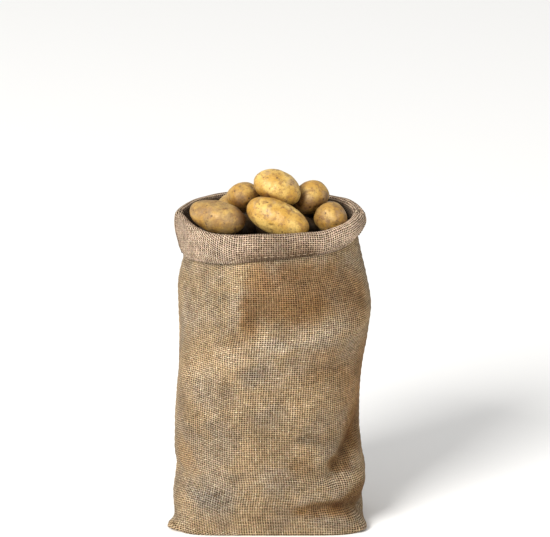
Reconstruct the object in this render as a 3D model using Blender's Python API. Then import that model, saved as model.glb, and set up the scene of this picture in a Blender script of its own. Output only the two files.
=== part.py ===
"""A hessian sack, stood up and filled with potatoes, its mouth turned outward into a cuff.

The sack is one length of cloth, folded at the foot and sewn up both sides. Metres, +Z up. The
origin is under the middle of the foot, the front faces -Y and the side seams lie along X.
"""

import math
import random
from collections import namedtuple

import bmesh
import bpy
import numpy as np
from mathutils import Euler, Vector
from mathutils.bvhtree import BVHTree

# Driving dimensions
CLOTH = 0.002            # thickness of the hessian
RIM_TOP = 0.4635         # height of the rolled mouth above the floor
HEAP_CLEARANCE = 0.0105  # filling to the unfolded wall near the mouth
FOLD_ROOM = 0.0075       # and so much more lower down, where the folds are deep
FOLD_ROOM_ENDS = (0.180, 0.340)
SEAT_GAP = 0.0006        # between pieces that touch
HEAP_SHOULDER = 0.439    # height of the hidden potatoes near the wall
HEAP_CROWN = 0.456       # and under the middle of the heap
HEAP_MIDDLE = (0.008, 0.005)
HEAP_REACH = (0.118, 0.075)

# Mesh fineness
AROUND = 60              # points round the cloth, both panels together
FOOT_STEPS = 3           # rings from the fold to the edge of the flat foot
WALL_STEPS = 21          # rings up the wall
ROLL_STEPS = 5           # rings over the roll
CUFF_STEPS = 3           # rings down the cuff
HEAP_AROUND = 36
HEAP_LEVELS = 9
HEAP_TOP_RINGS = 6
HEAP_TOP_PLACE = 14.4    # the heap leaves the wall at this place in the WALL table
POTATO_FINENESS = 3      # icosphere subdivisions

# Level sections of the wall, from the edge of the flat foot to the neck under the roll. left and
# right are half-widths, lean is how far the section sits towards the back, girth is the length of
# cloth round it, and boxiness is the exponent of its oval (2 is an ellipse).
Section = namedtuple("Section", "height left right lean girth boxiness")
WALL = (
    Section(0.001, 0.131, 0.132, -0.012, 0.768, 6.5),
    Section(0.005, 0.1365, 0.136, -0.011, 0.774, 5.8),
    Section(0.018, 0.138, 0.136, -0.008, 0.777, 4.4),
    Section(0.043, 0.139, 0.133, -0.005, 0.779, 3.2),
    Section(0.066, 0.1365, 0.137, -0.003, 0.779, 2.6),
    Section(0.084, 0.135, 0.1365, -0.001, 0.777, 2.3),
    Section(0.107, 0.137, 0.132, -0.001, 0.778, 2.3),
    Section(0.160, 0.136, 0.1288, 0.000, 0.779, 2.2),
    Section(0.198, 0.133, 0.1285, 0.001, 0.778, 2.2),
    Section(0.236, 0.1280, 0.1285, 0.002, 0.776, 2.2),
    Section(0.274, 0.1260, 0.1335, 0.002, 0.775, 2.2),
    Section(0.313, 0.1260, 0.1420, 0.001, 0.776, 2.2),
    Section(0.340, 0.1250, 0.1425, 0.000, 0.773, 2.2),
    Section(0.368, 0.1220, 0.1385, 0.000, 0.765, 2.2),
    Section(0.395, 0.1195, 0.131, 0.001, 0.750, 2.2),
    Section(0.425, 0.1190, 0.1255, 0.001, 0.733, 2.2),
    Section(0.456, 0.1185, 0.1185, 0.001, 0.714, 2.2),
)

# The mouth, at stations round the cloth from the left seam (0) across the front (0.25) to the right
# seam (0.5) and on across the back. rise lifts the roll, roll is its radius to the middle of the
# cloth, cuff is how far it is turned down, and stand_off is how far the hem hangs from the wall.
RISE_FROM = 0.36         # the wall follows the rise of the roll above this height
Mouth = namedtuple("Mouth", "around rise roll cuff stand_off")
MOUTH = (
    Mouth(0.000, 0.001, 0.0042, 0.060, 0.0065),
    Mouth(0.125, -0.0075, 0.0048, 0.0435, 0.0085),
    Mouth(0.250, -0.0025, 0.0050, 0.0365, 0.0080),
    Mouth(0.375, -0.0025, 0.0055, 0.0320, 0.0085),
    Mouth(0.500, 0.0030, 0.0080, 0.0310, 0.0110),
    Mouth(0.625, 0.001, 0.0040, 0.047, 0.0080),
    Mouth(0.750, 0.000, 0.0036, 0.045, 0.0080),
    Mouth(0.875, 0.001, 0.0036, 0.052, 0.0080),
)

# Folds in the wall, each a soft trough between two places given as a station round the cloth and a
# height. A negative depth is a ridge.
Fold = namedtuple("Fold", "start_around start_height end_around end_height width depth")
FOLDS_START = (0.003, 0.022)   # heights between which folds and lumps set in
FOLDS_END = (0.400, 0.440)     # and die out under the roll
FOLDS = (
    Fold(0.472, 0.154, 0.392, 0.110, 0.018, 0.0125),   # right, above the foot
    Fold(0.392, 0.110, 0.368, 0.078, 0.016, 0.0110),   # and steeper at its lower end
    Fold(0.520, 0.013, 0.425, 0.034, 0.010, 0.0110),   # right, where the foot creases
    Fold(0.425, 0.034, 0.320, 0.043, 0.010, 0.0120),
    Fold(0.460, 0.074, 0.350, 0.078, 0.013, -0.0040),  # the ridge between them
    Fold(0.450, 0.018, 0.390, 0.016, 0.012, -0.0030),  # the bulge below it
    Fold(0.270, 0.398, 0.450, 0.388, 0.026, 0.0055),   # hollow under the cuff
    Fold(0.198, 0.415, 0.204, 0.320, 0.018, -0.0045),  # the ridge that drops to its left
    Fold(0.205, 0.408, 0.238, 0.392, 0.013, 0.0045),
    Fold(0.225, 0.306, 0.430, 0.318, 0.022, -0.0050),  # the potatoes press out here
    Fold(0.270, 0.262, 0.440, 0.268, 0.020, 0.0035),
    Fold(0.130, 0.250, 0.205, 0.308, 0.014, -0.0045),
    Fold(0.020, 0.088, 0.110, 0.070, 0.014, 0.0060),   # left, near the foot
    Fold(0.990, 0.090, 0.930, 0.120, 0.015, 0.0050),
    Fold(0.590, 0.360, 0.720, 0.330, 0.018, 0.0045),   # back
    Fold(0.560, 0.060, 0.700, 0.048, 0.011, 0.0070),
    Fold(0.800, 0.300, 0.900, 0.240, 0.020, 0.0045),
    Fold(0.780, 0.400, 0.880, 0.385, 0.020, 0.0040),
    Fold(0.650, 0.180, 0.800, 0.150, 0.026, 0.0040),
)

# Where the side seams make the cloth stand out: the corners of the folded foot, which lie a little
# forward of the seams, and the pinched ends of the mouth.
Ear = namedtuple("Ear", "around forward reach width")
FOOT_EARS = (Ear(0.0, 0.045, 0.013, 0.017), Ear(0.5, 0.055, 0.008, 0.018))
MOUTH_EARS = (Ear(0.0, 0.000, 0.0065, 0.022), Ear(0.5, 0.000, 0.001, 0.020))
FOLD_SHARE = 0.86        # length of the flat part of the fold, as a share of the foot's width
FOOT_EAR_HEIGHT = 0.016
MOUTH_EARS_FROM = (0.410, 0.450)

# Lumps where potatoes press against the cloth
LUMP_COUNT = 46
LUMP_SEED = 11
LUMP_LEVELS = (0.04, 0.37)
LUMP_HEIGHT = (0.0015, 0.0042)
LUMP_RADIUS = (0.024, 0.038)

# Where the heap of potatoes is low or, with a negative depth, high
Dip = namedtuple("Dip", "across back depth radius")
HEAP_DIPS = (
    Dip(0.100, 0.030, 0.017, 0.034),
    Dip(-0.060, 0.052, 0.010, 0.034),
    Dip(-0.075, -0.040, -0.005, 0.030),
    Dip(0.086, -0.036, -0.005, 0.024),
    Dip(-0.037, 0.010, -0.0095, 0.024),
)

# Each potato swells and thins along a few waves of its own
POTATO_WAVES = 4
WAVE_RATE = 3.2
WAVE_SHARE = 0.022
DROP_FROM = 0.8          # height from which each is lowered

# Potatoes, in the order in which they are laid on the heap. across and back place the middle over
# the floor. The heading turns the long axis about Z, and nose_down and roll tip it.
Potato = namedtuple("Potato", "name across back heading nose_down roll length width thick taper")
POTATOES = (
    Potato("potato_01", -0.0755, -0.040, -27, 8, 10, 0.091, 0.050, 0.045, 0.08),
    Potato("potato_02", 0.0115, -0.057, -20, 16, 0, 0.099, 0.053, 0.049, -0.07),
    Potato("potato_03", 0.0865, -0.034, 25, 0, 20, 0.049, 0.045, 0.041, 0.05),
    Potato("potato_04", -0.056, 0.050, 60, 0, -15, 0.060, 0.044, 0.036, 0.08),
    Potato("potato_05", -0.005, 0.074, 176, 0, 30, 0.062, 0.042, 0.036, -0.06),
    Potato("potato_06", 0.055, 0.066, 195, 4, 0, 0.056, 0.044, 0.040, 0.08),
    Potato("potato_07", 0.087, 0.028, 80, 6, 0, 0.052, 0.040, 0.036, 0.05),
    Potato("potato_08", -0.037, 0.010, 20, 0, 0, 0.049, 0.046, 0.039, 0.04),
    Potato("potato_09", 0.057, 0.013, 10, -32, 0, 0.061, 0.047, 0.044, 0.10),
    Potato("potato_10", 0.014, 0.041, 105, 0, 0, 0.054, 0.046, 0.042, 0.07),
    Potato("potato_11", 0.012, -0.012, -15, 24, 0, 0.070, 0.051, 0.048, -0.06),
)


def between(low, high, x):
    """0 below low, 1 above high, smooth between."""
    t = np.clip((x - low) / (high - low), 0.0, 1.0)
    return t * t * (3 - 2 * t)


def smooth_rows(rows, places):
    """Rows of a table read between its rows, on a smooth curve through them."""
    table = np.array(rows, float)
    slope = np.gradient(table, axis=0)
    places = np.atleast_1d(places)
    index = np.clip(places.astype(int), 0, len(table) - 2)
    t = (places - index)[:, None]
    a, b = table[index], table[index + 1]
    ta, tb = slope[index], slope[index + 1]
    return (
        (2 * t**3 - 3 * t**2 + 1) * a
        + (t**3 - 2 * t**2 + t) * ta
        + (3 * t**2 - 2 * t**3) * b
        + (t**3 - t**2) * tb
    )


def oval(left, right, half_depth, boxiness, angle):
    """Points of a boxy oval at these angles about its middle."""
    c, s = np.cos(angle), np.sin(angle)
    half_width = np.where(c < 0, left, right)
    radius = (np.abs(c / half_width) ** boxiness + np.abs(s / half_depth) ** boxiness) ** (
        -1 / boxiness
    )
    return np.stack([radius * c, radius * s], axis=-1)


def half_depth_for(left, right, girth, boxiness):
    """The cloth doesn't stretch, so a section's depth follows from its width and its girth."""
    angle = np.linspace(0, 2 * math.pi, 241)
    low, high = 0.02, 0.25
    for _ in range(24):
        middle = (low + high) / 2
        points = oval(left, right, middle, boxiness, angle)
        length = np.linalg.norm(np.diff(points, axis=0), axis=1).sum()
        low, high = (middle, high) if length < girth else (low, middle)
    return middle


def panel_points(left, right, half_depth, boxiness, first_angle, count):
    """Evenly spaced points along one panel, from one seam up to the other."""
    angle = first_angle + np.linspace(0, math.pi, 181)
    dense = oval(left, right, half_depth, boxiness, angle)
    run = np.concatenate([[0], np.cumsum(np.linalg.norm(np.diff(dense, axis=0), axis=1))])
    places = np.linspace(0, run[-1], count, endpoint=False)
    return np.stack([np.interp(places, run, dense[:, k]) for k in (0, 1)], axis=-1)


def ring(section, count):
    """One level section: the front panel from the left seam, then the back panel."""
    half_depth = half_depth_for(section.left, section.right, section.girth, section.boxiness)
    shape = (section.left, section.right, half_depth, section.boxiness)
    points = np.concatenate(
        [panel_points(*shape, first, count // 2) for first in (-math.pi, 0.0)]
    )
    points[:, 1] += section.lean
    return np.column_stack([points, np.full(count, section.height)])


def outward(points):
    """Level unit normals of a ring, facing away from the sack."""
    along = np.roll(points, -1, axis=0) - np.roll(points, 1, axis=0)
    normal = np.column_stack([along[:, 1], -along[:, 0], np.zeros(len(points))])
    return normal / np.linalg.norm(normal, axis=1)[:, None]


def round_distance(around, station, girth):
    """Signed distance round the cloth from a station."""
    return ((around - station + 0.5) % 1.0 - 0.5) * girth


def lumps():
    draw = random.Random(LUMP_SEED)
    return [
        (
            draw.random(),
            draw.uniform(*LUMP_LEVELS),
            draw.uniform(*LUMP_RADIUS),
            draw.uniform(*LUMP_HEIGHT),
        )
        for _ in range(LUMP_COUNT)
    ]


def relief(around, height, girth):
    """How far the folds and lumps move the wall outward."""
    out = np.zeros(len(around))
    for fold in FOLDS:
        run = Vector(
            (
                (fold.end_around - fold.start_around) * girth,
                fold.end_height - fold.start_height,
            )
        )
        x = round_distance(around, fold.start_around, girth)
        y = height - fold.start_height
        t = (x * run.x + y * run.y) / run.length_squared
        away = (x * run.y - y * run.x) / run.length
        fade = between(-0.25, 0.2, t) * (1 - between(0.7, 1.25, t))
        out -= fold.depth * np.exp(-((away / fold.width) ** 2)) * fade
    for station, level, radius, rise in lumps():
        x = round_distance(around, station, girth)
        out += rise * np.exp(-(x**2 + (height - level) ** 2) / radius**2)
    return out * between(*FOLDS_START, height) * (1 - between(*FOLDS_END, height))


def mouth_at(around):
    """The mouth table read all the way round."""
    rows = [row[1:] for row in MOUTH]
    closed = rows[-2:] + rows + rows[:3]
    places = 2 + (around % 1.0) * len(rows)
    return smooth_rows(closed, places).T


def ear_reach(ears, around, girth):
    """How far these ears stand out from the wall."""
    reach = np.zeros(len(around))
    for ear in ears:
        station = ear.around + ear.forward / girth * (1 if ear.around == 0.0 else -1)
        reach += ear.reach * np.exp(-((round_distance(around, station, girth) / ear.width) ** 2))
    return reach


def wall_ring(place, count):
    """The wall at a place in the WALL table, with its folds and ears."""
    section = Section(*smooth_rows(WALL, place)[0])
    around = np.arange(count) / count
    points = ring(section, count)
    height = points[:, 2]
    low = between(0.0, 0.004, height) * (1 - between(0.3, 1.0, height / FOOT_EAR_HEIGHT))
    out = relief(around, height, section.girth)
    out += ear_reach(FOOT_EARS, around, section.girth) * low
    out += ear_reach(MOUTH_EARS, around, section.girth) * between(*MOUTH_EARS_FROM, height)
    points = points + outward(points) * out[:, None]
    rise = mouth_at(around)[0]
    points[:, 2] += rise * between(RISE_FROM, WALL[-1].height, section.height)
    return points


def cuff_ring(neck, offset, drop):
    """A ring outside the neck, offset from it and below the top of the roll by drop."""
    points = neck + outward(neck) * offset[:, None]
    around = np.arange(len(neck)) / len(neck)
    points[:, 2] = RIM_TOP - CLOTH / 2 + mouth_at(around)[0] - drop
    return points


def sack_rings():
    """Rings of the middle of the cloth, from the fold under the foot to the hem of the cuff."""
    around = np.arange(AROUND) / AROUND
    edge = wall_ring(0.0, AROUND)
    foot = WALL[0]
    share = 1 - np.abs(1 - 2 * around)
    fold = np.empty_like(edge)
    fold[:, 0] = ((foot.left + foot.right) * share - foot.left) * FOLD_SHARE
    fold[:, 1:] = foot.lean, foot.height
    steps = np.linspace(0, 1, FOOT_STEPS, endpoint=False)
    rings = [fold + (edge - fold) * step for step in steps]
    rings += [wall_ring(p, AROUND) for p in np.linspace(0, len(WALL) - 1, WALL_STEPS)]
    neck = rings[-1]
    _, roll, cuff, stand_off = mouth_at(around)
    for turn in np.linspace(0, math.pi, ROLL_STEPS + 1)[1:]:
        rings.append(cuff_ring(neck, roll * (1 - math.cos(turn)), roll * (1 - math.sin(turn))))
    ears = ear_reach(MOUTH_EARS, around, WALL[-1].girth)
    for step in np.linspace(0, 1, CUFF_STEPS + 1)[1:]:
        offset = 2 * roll + (stand_off - ears - 2 * roll) * between(0, 1, step)
        rings.append(cuff_ring(neck, offset, roll + (cuff - roll) * step))
    return rings


def material(name, colour, roughness):
    made = bpy.data.materials.new(name)
    made.use_nodes = True
    shader = made.node_tree.nodes["Principled BSDF"]
    shader.inputs["Base Color"].default_value = (*colour, 1.0)
    shader.inputs["Roughness"].default_value = roughness
    shader.inputs["Metallic"].default_value = 0.0
    made.diffuse_color = (*colour, 1.0)
    return made


def add_object(name, bm, finish):
    """A new object from this mesh."""
    mesh = bpy.data.meshes.new(name)
    bm.to_mesh(mesh)
    bm.free()
    mesh.shade_smooth()
    mesh.materials.append(finish)
    made = bpy.data.objects.new(name, mesh)
    bpy.context.scene.collection.objects.link(made)
    return made


def loft(bm, rings):
    """Quads between rings of vertices, each ring going round the same way."""
    for low, high in zip(rings, rings[1:]):
        for i in range(len(low)):
            k = (i + 1) % len(low)
            bm.faces.new((low[i], low[k], high[k], high[i]))


def make_sack(finish):
    """The cloth as one sheet, given its thickness by Solidify."""
    bm = bmesh.new()
    rings = [[bm.verts.new(p) for p in points] for points in sack_rings()]
    loft(bm, rings)
    # The front and back panels are one cloth along the fold under the foot.
    fold = rings[0]
    pairs = {fold[-i]: fold[i] for i in range(1, AROUND // 2)}
    for vert, mate in pairs.items():
        mate.co = (mate.co + vert.co) / 2
        vert.co = mate.co
    bmesh.ops.weld_verts(bm, targetmap=pairs)
    sack = add_object("sack", bm, finish)
    thick = sack.modifiers.new("thickness", "SOLIDIFY")
    thick.thickness = CLOTH
    thick.offset = 0.0
    thick.use_even_offset = True
    return sack


def heap_height(x, y):
    """The top of the hidden potatoes: a crown towards the back, lower all round."""
    away = np.hypot((x - HEAP_MIDDLE[0]) / HEAP_REACH[0], (y - HEAP_MIDDLE[1]) / HEAP_REACH[1])
    crown = 1 - between(0.45, 0.80, away)
    low = sum(
        dip.depth * np.exp(-((x - dip.across) ** 2 + (y - dip.back) ** 2) / dip.radius**2)
        for dip in HEAP_DIPS
    )
    return HEAP_SHOULDER + (HEAP_CROWN - HEAP_SHOULDER) * crown - low


def make_filling(finish):
    """The potatoes that can't be seen, as one solid that fills the sack up to the heap."""
    bm = bmesh.new()
    floor = CLOTH + SEAT_GAP
    rings = []
    for place in np.linspace(0.0, HEAP_TOP_PLACE, HEAP_LEVELS):
        section = Section(*smooth_rows(WALL, place)[0])
        points = ring(section, HEAP_AROUND)
        room = FOLD_ROOM * (1 - between(*FOLD_ROOM_ENDS, section.height))
        points -= outward(points) * (HEAP_CLEARANCE + room)
        points[:, 2] = np.maximum(points[:, 2] + HEAP_CLEARANCE * min(place, 1.0), floor)
        rings.append(points)
    rim = rings[-1].copy()
    middle = rim.mean(axis=0)
    for step in np.linspace(1, 0, HEAP_TOP_RINGS, endpoint=False)[1:]:
        points = middle + (rim - middle) * step
        share = between(1.0, 0.8, step)
        points[:, 2] = rim[:, 2] * (1 - share) + heap_height(points[:, 0], points[:, 1]) * share
        rings.append(points)
    made = [[bm.verts.new(p) for p in points] for points in rings]
    loft(bm, made)
    bm.faces.new(made[0][::-1])
    crown = bm.verts.new((middle[0], middle[1], float(heap_height(middle[0], middle[1]))))
    for i in range(HEAP_AROUND):
        bm.faces.new((made[-1][i], made[-1][(i + 1) % HEAP_AROUND], crown))
    bmesh.ops.triangulate(bm, faces=bm.faces)
    return add_object("filling", bm, finish)


def potato_mesh(row, seed):
    """A potato about its own middle: an egg-like ball with a few broad lumps."""
    bm = bmesh.new()
    bmesh.ops.create_icosphere(bm, subdivisions=POTATO_FINENESS, radius=1.0)
    draw = random.Random(seed)
    waves = [
        (Vector([draw.uniform(-1, 1) for _ in range(3)]).normalized(), draw.uniform(0, 2 * math.pi))
        for _ in range(POTATO_WAVES)
    ]
    turn = Euler(
        [math.radians(a) for a in (row.roll, row.nose_down, row.heading)], "XYZ"
    ).to_matrix()
    for vert in bm.verts:
        p = vert.co.copy()
        wave = sum(math.sin(WAVE_RATE * p.dot(axis) + phase) for axis, phase in waves)
        swell = 1 + WAVE_SHARE * wave
        girth = swell * (1 + row.taper * p.x)
        shaped = Vector(
            (
                p.x * row.length / 2 * swell,
                p.y * row.width / 2 * girth,
                p.z * row.thick / 2 * girth,
            )
        )
        shaped.y += row.taper * row.width * 0.5 * (p.x**2 - 0.4)
        vert.co = turn @ shaped
    return bm


def samples(bm):
    """Corner points and points along the edges."""
    points = [v.co.copy() for v in bm.verts]
    for edge in bm.edges:
        a, b = edge.verts[0].co, edge.verts[1].co
        points += [a.lerp(b, share) for share in (0.25, 0.5, 0.75)]
    return points


def fall(bm, place, pile):
    """How far a potato at this place can come down before it meets the pile."""
    reach = least = DROP_FROM
    down, up = Vector((0, 0, -1)), Vector((0, 0, 1))
    shell = BVHTree.FromBMesh(bm)
    mine = samples(bm)
    box = [[f(p[k] for p in mine) + place[k] for k in (0, 1)] for f in (min, max)]
    for tree, points in pile:
        for point in mine:
            hit = tree.ray_cast(point + place, down, reach)
            if hit[0] is not None:
                least = min(least, hit[3])
        for point in points:
            if all(box[0][k] <= point[k] <= box[1][k] for k in (0, 1)):
                hit = shell.ray_cast(point - place, up, reach)
                if hit[0] is not None:
                    least = min(least, hit[3])
    return least


def lay_potatoes(filling, finish):
    """Each potato comes straight down until it rests on the heap or on those already there."""
    bm = bmesh.new()
    bm.from_mesh(filling.data)
    pile = [(BVHTree.FromBMesh(bm), samples(bm))]
    bm.free()
    for index, row in enumerate(POTATOES):
        shape = potato_mesh(row, index + 1)
        start = Vector((row.across, row.back, DROP_FROM))
        height = start.z - fall(shape, start, pile) + SEAT_GAP
        place = Vector((row.across, row.back, height))
        placed = shape.copy()
        bmesh.ops.translate(placed, verts=placed.verts, vec=place)
        pile.append((BVHTree.FromBMesh(placed), samples(placed)))
        placed.free()
        made = add_object(row.name, shape, finish)
        made.location = place


def clear_scene():
    for old in list(bpy.data.objects):
        bpy.data.objects.remove(old, do_unlink=True)


clear_scene()
make_sack(material("hessian", (0.42, 0.29, 0.17), 0.95))
skin = material("potato_skin", (0.62, 0.45, 0.20), 0.55)
lay_potatoes(make_filling(skin), skin)
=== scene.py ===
import math
import random
from collections import namedtuple

import bmesh
import bpy
import numpy as np
from mathutils import Euler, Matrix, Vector, noise
from mathutils.bvhtree import BVHTree


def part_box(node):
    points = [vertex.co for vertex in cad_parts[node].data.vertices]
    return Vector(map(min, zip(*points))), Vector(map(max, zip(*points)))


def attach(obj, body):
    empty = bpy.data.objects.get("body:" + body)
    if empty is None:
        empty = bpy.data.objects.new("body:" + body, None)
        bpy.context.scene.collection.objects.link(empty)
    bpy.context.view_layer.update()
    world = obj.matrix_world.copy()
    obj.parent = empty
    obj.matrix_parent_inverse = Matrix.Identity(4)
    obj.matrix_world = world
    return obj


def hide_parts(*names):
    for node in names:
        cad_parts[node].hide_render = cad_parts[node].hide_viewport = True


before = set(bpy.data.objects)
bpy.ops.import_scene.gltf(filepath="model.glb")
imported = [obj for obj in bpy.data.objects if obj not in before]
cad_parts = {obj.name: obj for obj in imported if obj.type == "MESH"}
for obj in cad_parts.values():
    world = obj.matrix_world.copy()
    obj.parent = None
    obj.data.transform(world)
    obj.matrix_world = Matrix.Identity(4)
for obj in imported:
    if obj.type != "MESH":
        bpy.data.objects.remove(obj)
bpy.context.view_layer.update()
print("frame loaded:", len(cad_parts), "nodes")


class Material:
    # a material being wired up, with short names for its nodes
    def __init__(self, name, roughness, specular):
        self.made = bpy.data.materials.new(name)
        self.made.use_nodes = True
        self.shader = self.made.node_tree.nodes["Principled BSDF"]
        self.fill(self.shader, {"Roughness": roughness, "Specular IOR Level": specular})

    def fill(self, node, values):
        # values go by socket name or in socket order; another node's output is linked
        for key, value in values.items() if isinstance(values, dict) else enumerate(values):
            socket = node.inputs[key]
            if isinstance(value, bpy.types.NodeSocket):
                self.made.node_tree.links.new(value, socket)
            else:
                socket.default_value = (*value, 1.0) if socket.type == "RGBA" else value

    def add(self, kind, values=(), **settings):
        node = self.made.node_tree.nodes.new("ShaderNode" + kind)
        for key, value in settings.items():
            setattr(node, key, value)
        self.fill(node, values)
        return node.outputs

    def calc(self, operation, *values):
        return self.add("Math", values, operation=operation)[0]

    def times(self, first, second):
        return self.calc("MULTIPLY", first, second)

    def less(self, first, second):
        return self.calc("SUBTRACT", first, second)

    def timesPlus(self, first, second, more):
        return self.calc("MULTIPLY_ADD", first, second, more)

    def noise(self, place, scale, detail=2.0, rough=0.5, output=0):
        values = {"Vector": place, "Scale": scale, "Detail": detail, "Roughness": rough}
        return self.add("TexNoise", values)[output]

    def strayed(self, place, stray, reach):
        # the place moved about by a noise that reaches so far
        return self.add("VectorMath", (stray, reach, place), operation="MULTIPLY_ADD")[0]

    def cells(self, place, scale, feature="F1"):
        return self.add("TexVoronoi", {"Vector": place, "Scale": scale}, feature=feature)

    def ramp(self, value, low, high, start=0.0, end=1.0):
        values = (value, low, high, start, end)
        return self.add("MapRange", values, interpolation_type="SMOOTHSTEP")[0]

    def blend(self, share, first, second, way="MIX"):
        values = {0: share, 6: first, 7: second}
        return self.add("Mix", values, data_type="RGBA", blend_type=way)[2]

    def layers(self, colour, *rows):
        # each row is a share, a colour to lay over the last one, and the way if it isn't a mix
        for share, over, *way in rows:
            colour = self.blend(share, colour, over, *way)
        return colour

    def grey(self, value):
        return self.add("CombineColor", (value,) * 3)[0]

    def attributes(self, *names):
        return [self.add("Attribute", attribute_name=name)["Fac"] for name in names]

    def finish(self, colour, bumps, strength, depth):
        bump = {"Strength": strength, "Distance": depth, "Height": bumps}
        self.fill(self.shader, {"Base Color": colour, "Normal": self.add("Bump", bump)[0]})
        return self.made


hessianLook = {
    "acrossPitch": 0.775 / 218,  # warp yarns, metres apart
    "upPitch": 0.0029,  # weft yarns
    "warpHalf": 0.242,  # half width of a yarn, as a share of the pitch
    "weftHalf": 0.275,
    "warpAskew": -0.045,  # where the cloth hangs askew the weft closes over the warp
    "weftAskew": 0.03,
    "yarnVaries": 0.25,
    "looseBy": 0.07,  # how much thinner the yarns are where the weave is open
    "wander": (0.0015, 0.0015, 0.0),  # how far the yarns stray from straight
    "wanderNoise": (55.0, 4.0, 0.62),
    "slub": (3.71, 0.23, 0),  # change from yarn to yarn, pace along it, seed, detail, roughness
    "tone": (5.13, 0.22, 9, 2.0, 0.6),
    "hair": (9.0, 1.3, 3, 2.0, 0.7),
    "arch": 0.5,  # how round a yarn is, how it waves over and under, and its level
    "wave": 0.4,
    "level": 0.65,
    "bump": 0.7,
    "bumpDepth": 0.001,
    "roughness": 0.93,
    "specular": 0.06,
    "sheen": {"Sheen Weight": 0.045, "Sheen Roughness": 0.6, "Sheen Tint": (0.85, 0.7, 0.5)},
    "goldenYarn": (0.335, 0.232, 0.126),
    "brownYarn": (0.2, 0.112, 0.048),
    "paleYarn": (0.545, 0.43, 0.28),
    "greyYarn": (0.29, 0.25, 0.195),
    # brown for stains and for the warmer colour of painted shade, then a tint for the deepest painted shade
    "warmTint": (0.9, 0.69, 0.48),
    "deepShadeTint": (0.95, 0.69, 0.47),
    "insideYarn": (0.44, 0.322, 0.228),
    "hairTints": ((0.6, 0.54, 0.46), (1.45, 1.5, 1.6)),  # darker is browner
    # painted shade where the yarns dip and painted highlight on their crowns, browner when darker
    "shadeTints": ((0.13, 0.1, 0.07), (1.35, 1.395, 1.46)),
    "gapColours": ((0.014, 0.007, 0.003), (0.15, 0.092, 0.045)),  # a hole, painted in the dark of the shade behind it, and stray fibres in it
    "tintVaries": 0.2,
    "patches": (17.0, 4.0, 0.6),  # noise: scale, detail and roughness
    "drift": (34.0, 3.0, 0.6),
    "cloud": (23.0, 3.0, 0.6),
    "flecks": (420.0, 2.0, 0.6),
    "stray": (300.0, 2.0, 0.6),
}


def weave(m, look):
    # plain weave: warp yarns run up the cloth, weft yarns across, over and under by turns
    place = m.add("UVMap", uv_map="clothMap")[0]
    moved = m.strayed(place, m.noise(place, *look["wanderNoise"], output=1), look["wander"])
    parts = m.add("SeparateXYZ", (moved,))
    across = m.calc("DIVIDE", parts[0], look["acrossPitch"])
    up = m.calc("DIVIDE", parts[1], look["upPitch"])
    loose, askew = m.attributes("loose", "askew")
    slack = m.times(loose, look["looseBy"])

    def yarn(offset, run, half, side, seed):
        number = m.calc("ROUND", offset)

        def along(start, rate, pace, draw, *rough):
            # noise that changes from yarn to yarn and slowly along each
            spot = m.add("CombineXYZ", (m.times(start, rate), m.times(run, pace), seed + draw))[0]
            return m.noise(spot, 1.0, *rough)

        # thickness wanders along each yarn: slubs and thin places
        slub = m.less(along(number, *look["slub"]), 0.5)
        wide = m.less(m.timesPlus(slub, 2 * look["yarnVaries"], half), slack)
        away = m.calc("DIVIDE", m.less(offset, number), wide)
        roundness = m.less(1.0, m.times(away, away))
        arch = m.calc("SQRT", m.calc("MAXIMUM", roundness, 0.0))
        wave = m.calc("COSINE", m.times(m.calc("ADD", run, number), math.pi))
        height = m.timesPlus(arch, look["arch"], m.timesPlus(wave, side * look["wave"], look["level"]))
        tone, hair = along(number, *look["tone"]), along(offset, *look["hair"])
        return m.times(height, m.ramp(roundness, 0.0, 0.25)), tone, hair

    warp = yarn(across, up, m.timesPlus(askew, look["warpAskew"], look["warpHalf"]), 1.0, 2.0)
    weft = yarn(up, across, m.timesPlus(askew, look["weftAskew"], look["weftHalf"]), -1.0, 41.0)
    warpOnTop = m.calc("GREATER_THAN", warp[0], weft[0])
    tone, hair = [
        m.add("Mix", {0: warpOnTop, 2: below, 3: above}, data_type="FLOAT")[0]
        for above, below in zip(warp[1:], weft[1:])
    ]
    return m.calc("MAXIMUM", warp[0], weft[0]), tone, hair


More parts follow.
